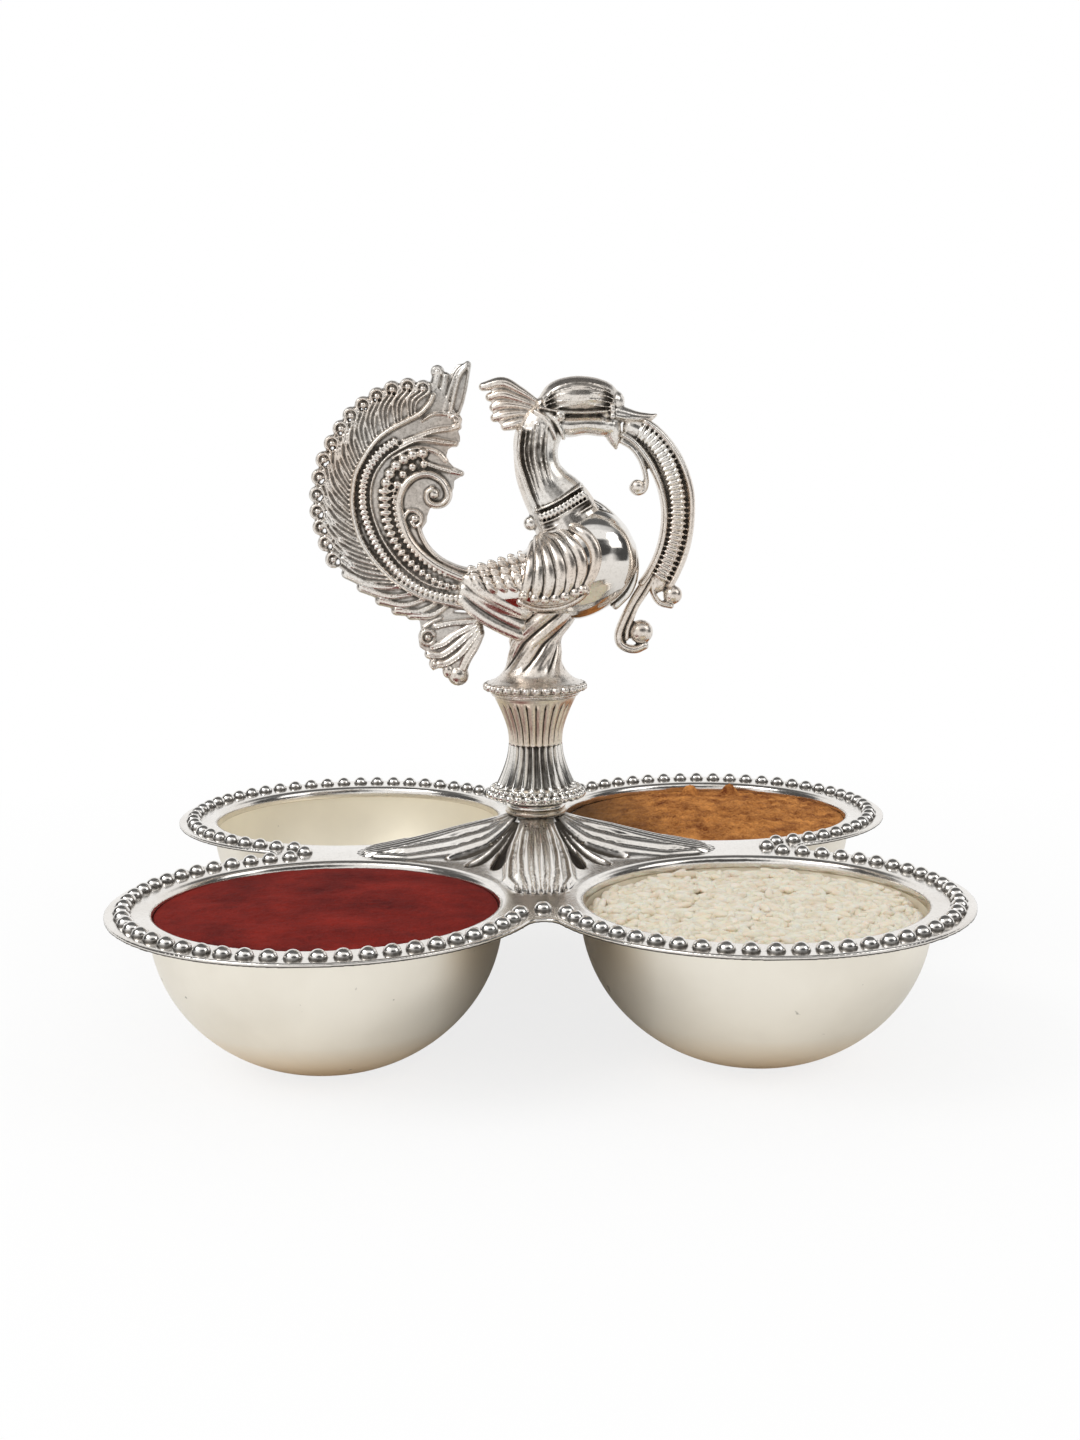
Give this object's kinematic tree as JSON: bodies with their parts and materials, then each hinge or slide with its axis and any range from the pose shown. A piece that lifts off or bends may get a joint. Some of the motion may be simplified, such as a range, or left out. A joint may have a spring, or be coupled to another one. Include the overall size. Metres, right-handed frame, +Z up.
{
  "type": "haldi kumkum box",
  "caption": "Footed stand with round bowls under a beaded lobed plate, and a fluted stem with a bird handle, for ritual powders and grain.",
  "frame": {"origin": "middle of the stand on the surface it rests on, under the stem's axis", "axes": "+X the way the bird faces, +Y away from the side the picture shows, +Z up"},
  "size_m": [0.1492, 0.1492, 0.1212],
  "materials": {
    "silver_plate": "bright stamped silver with oxidised hollows",
    "silver_bowl": "satin spun silver with fine marks",
    "silver_handle": "polished cast silver with oxidised hollows",
    "steel_fastener": "plated steel",
    "kumkum": "fine dark red powder",
    "turmeric": "fine orange powder, lumpy",
    "rice": "raw rice grains"
  },
  "bodies": {
    "root": {"top_plate": "silver_plate", "bowl_front_left": "silver_bowl", "bowl_front_right": "silver_bowl", "bowl_back_left": "silver_bowl", "bowl_back_right": "silver_bowl", "kumkum_powder": "kumkum", "rice_grains": "rice", "turmeric_powder": "turmeric", "neck_ring": "silver_handle", "foot_collar": "silver_handle", "stem": "silver_handle", "cap_ring": "silver_handle", "bird_pedestal": "silver_handle", "bird_body": "silver_handle", "bird_head": "silver_handle", "bird_crest": "silver_handle", "wing_left": "silver_handle", "wing_right": "silver_handle", "bird_tail": "silver_handle", "beak_plume": "silver_handle", "breast_scroll": "silver_handle", "tie_rod": "steel_fastener", "washer": "steel_fastener", "nut": "steel_fastener"}
  },
  "joints": []
}
